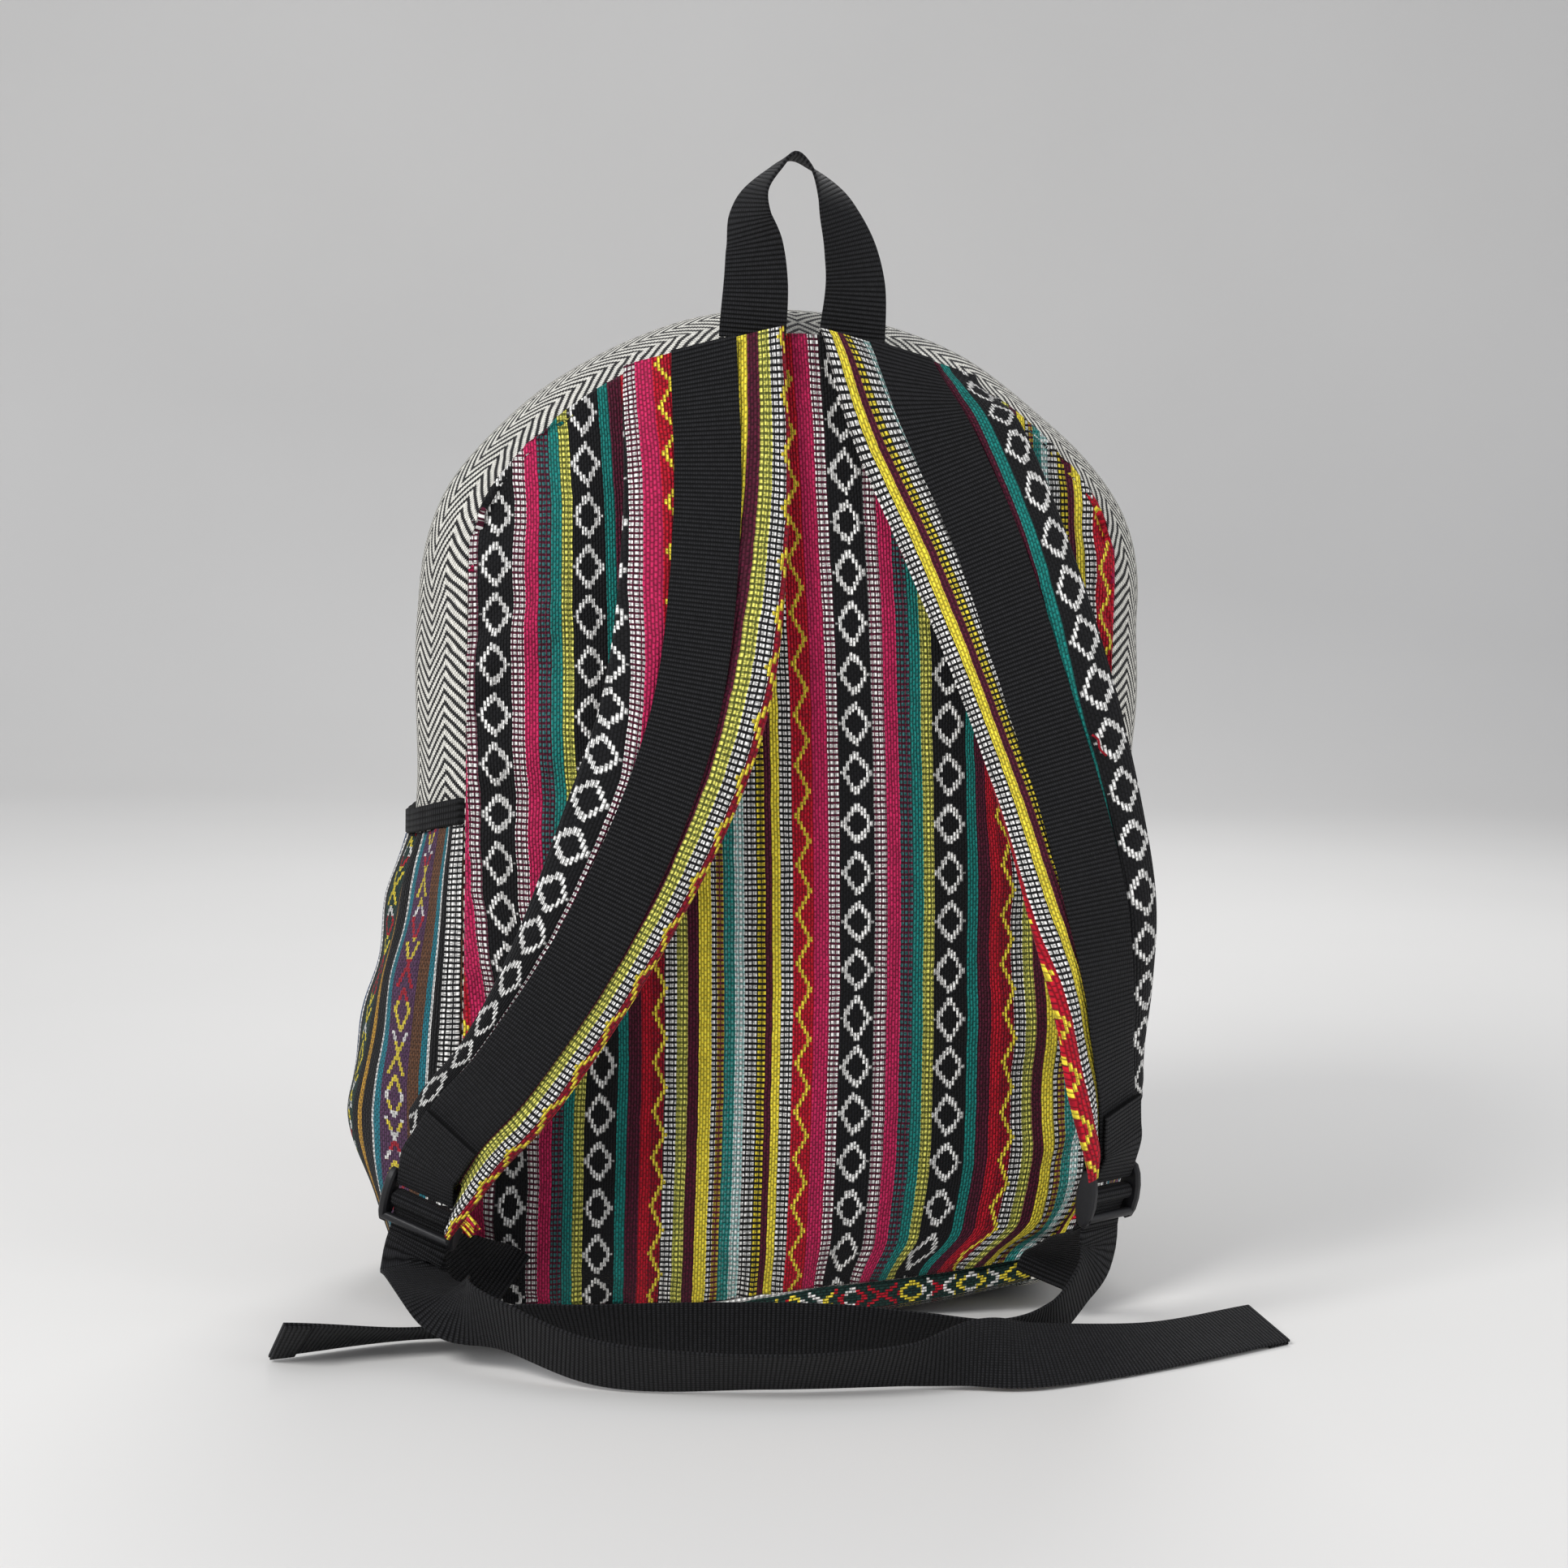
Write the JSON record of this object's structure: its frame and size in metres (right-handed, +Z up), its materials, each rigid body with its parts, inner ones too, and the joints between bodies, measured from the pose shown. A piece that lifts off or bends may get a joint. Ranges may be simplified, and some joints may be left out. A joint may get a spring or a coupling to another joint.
{
  "type": "backpack",
  "caption": "Stuffed cotton backpack with arched panels, herringbone gusset, zips, side pockets, padded straps, webbing handle and ladder buckles with loose webbing tails.",
  "frame": {"origin": "middle of the base's underside, on the floor", "axes": "+Z up, -Y out of the back panel on the strap side, +Y out of the front pocket, +X to the right seen from the strap side"},
  "size_m": [0.4607, 0.3181, 0.5348],
  "materials": {
    "striped_cloth": "hand-woven striped cotton",
    "herringbone_cloth": "black and off-white herringbone cotton",
    "pocket_cloth": "hand-woven patterned cotton",
    "base_cloth": "dark green patterned cotton",
    "webbing": "ribbed black webbing",
    "elastic": "black elastic binding",
    "zip_tape": "black woven tape",
    "zip_chain": "black nylon coil",
    "zip_metal": "tumbled metal",
    "buckle_plastic": "moulded black plastic"
  },
  "bodies": {
    "bag": {"back_panel": "striped_cloth", "front_panel": "striped_cloth", "front_pocket": "striped_cloth", "arch_gusset_rear": "herringbone_cloth", "arch_gusset_front": "herringbone_cloth", "base_panel": "base_cloth", "main_zip_tape_rear": "zip_tape", "main_zip_tape_front": "zip_tape", "main_zip_chain": "zip_chain", "front_zip_tape_upper": "zip_tape", "front_zip_tape_lower": "zip_tape", "front_zip_chain": "zip_chain", "top_handle": "webbing", "left_side_gusset": "herringbone_cloth", "left_side_pocket": "pocket_cloth", "left_pocket_elastic": "elastic", "left_shoulder_strap": "striped_cloth", "left_strap_webbing": "webbing", "left_buckle_loop": "webbing", "left_adjuster_webbing": "webbing", "left_webbing_tail": "webbing", "right_side_gusset": "herringbone_cloth", "right_side_pocket": "pocket_cloth", "right_pocket_elastic": "elastic", "right_shoulder_strap": "striped_cloth", "right_strap_webbing": "webbing", "right_buckle_loop": "webbing", "right_adjuster_webbing": "webbing", "right_webbing_tail": "webbing"},
    "main_left_slider": {"main_left_slider": "zip_metal"},
    "main_left_pull": {"main_left_pull": "zip_metal"},
    "left_buckle": {"left_ladder_buckle": "buckle_plastic"},
    "main_right_slider": {"main_right_slider": "zip_metal"},
    "main_right_pull": {"main_right_pull": "zip_metal"},
    "right_buckle": {"right_ladder_buckle": "buckle_plastic"},
    "front_slider": {"front_slider": "zip_metal"},
    "front_pull": {"front_pull": "zip_metal"}
  },
  "joints": [
    {"name": "main_left_slider_run", "type": "hinge", "parent": "bag", "child": "main_left_slider", "pos_m": [0, 0.03, 0.27452], "axis": [0, -1, 0], "range_deg": [0, 46]},
    {"name": "main_left_pull_lift", "type": "hinge", "parent": "main_left_slider", "child": "main_left_pull", "pos_m": [-0.00873, 0.03, 0.46888], "axis": [0, 1, 0], "range_deg": [0, 100]},
    {"name": "main_right_slider_run", "type": "hinge", "parent": "bag", "child": "main_right_slider", "pos_m": [0, 0.03, 0.27452], "axis": [0, 1, 0], "range_deg": [0, 46]},
    {"name": "main_right_pull_lift", "type": "hinge", "parent": "main_right_slider", "child": "main_right_pull", "pos_m": [0.00873, 0.03, 0.46888], "axis": [0, -1, 0], "range_deg": [0, 100]},
    {"name": "front_slider_run", "type": "slide", "parent": "bag", "child": "front_slider", "axis": [-1, 0, 0], "range_m": [0, 0.17]},
    {"name": "front_pull_lift", "type": "hinge", "parent": "front_slider", "child": "front_pull", "pos_m": [0.085, 0.1141, 0.172], "axis": [0, 0, 1], "range_deg": [0, 150]},
    {"name": "left_buckle_lift", "type": "hinge", "parent": "bag", "child": "left_buckle", "pos_m": [-0.16174, -0.10193, 0.06986], "axis": [-0.8504, 0.4545, 0.2649], "range_deg": [0, 30], "deforming": ["left_adjuster_webbing"]},
    {"name": "right_buckle_lift", "type": "hinge", "parent": "bag", "child": "right_buckle", "pos_m": [0.14535, -0.11397, 0.08037], "axis": [-0.7044, -0.7069, 0.0643], "range_deg": [0, 30], "deforming": ["right_adjuster_webbing"]}
  ]
}
